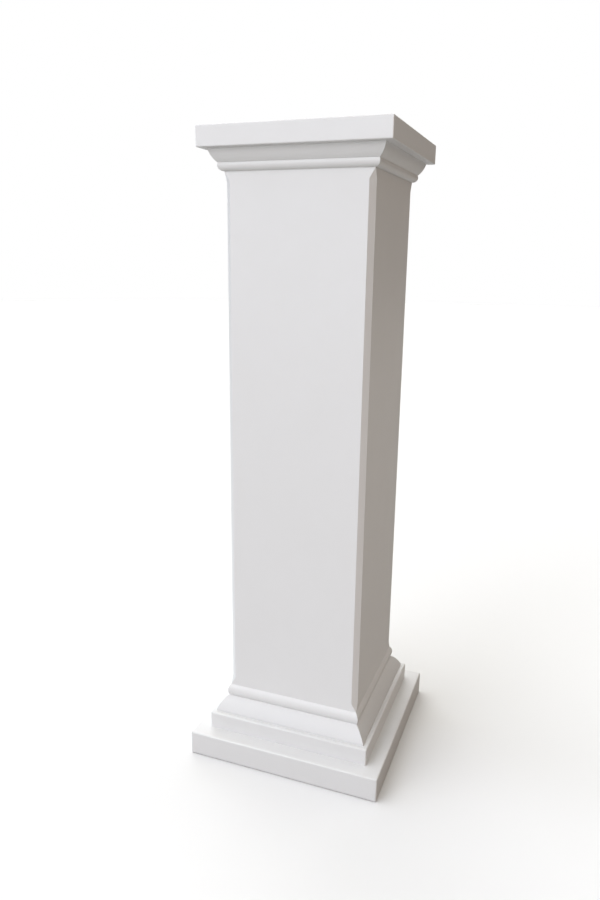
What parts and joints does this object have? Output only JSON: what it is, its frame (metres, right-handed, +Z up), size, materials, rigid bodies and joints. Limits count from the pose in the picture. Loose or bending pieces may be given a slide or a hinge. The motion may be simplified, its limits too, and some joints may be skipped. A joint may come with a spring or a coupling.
{
  "type": "pedestal column",
  "caption": "Square display pedestal column: boxed shaft with stopped chamfers on a stepped plinth, moulded base and capital under a flat top slab.",
  "frame": {"origin": "on the floor, under the column's vertical axis, at the middle of the plinth's underside", "axes": "+Z up along the column's axis; the front is towards -Y and the right side towards +X, and all four sides are alike"},
  "size_m": [0.2984, 0.2984, 0.9144],
  "materials": {
    "white_satin_paint": "satin white paint on filled and sanded board"
  },
  "bodies": {
    "root": {"plinth": "white_satin_paint", "plinth_step": "white_satin_paint", "shaft_front": "white_satin_paint", "shaft_right": "white_satin_paint", "shaft_back": "white_satin_paint", "shaft_left": "white_satin_paint", "base_moulding_front": "white_satin_paint", "base_moulding_right": "white_satin_paint", "base_moulding_back": "white_satin_paint", "base_moulding_left": "white_satin_paint", "capital_moulding_front": "white_satin_paint", "capital_moulding_right": "white_satin_paint", "capital_moulding_back": "white_satin_paint", "capital_moulding_left": "white_satin_paint", "top_slab": "white_satin_paint"}
  },
  "joints": []
}
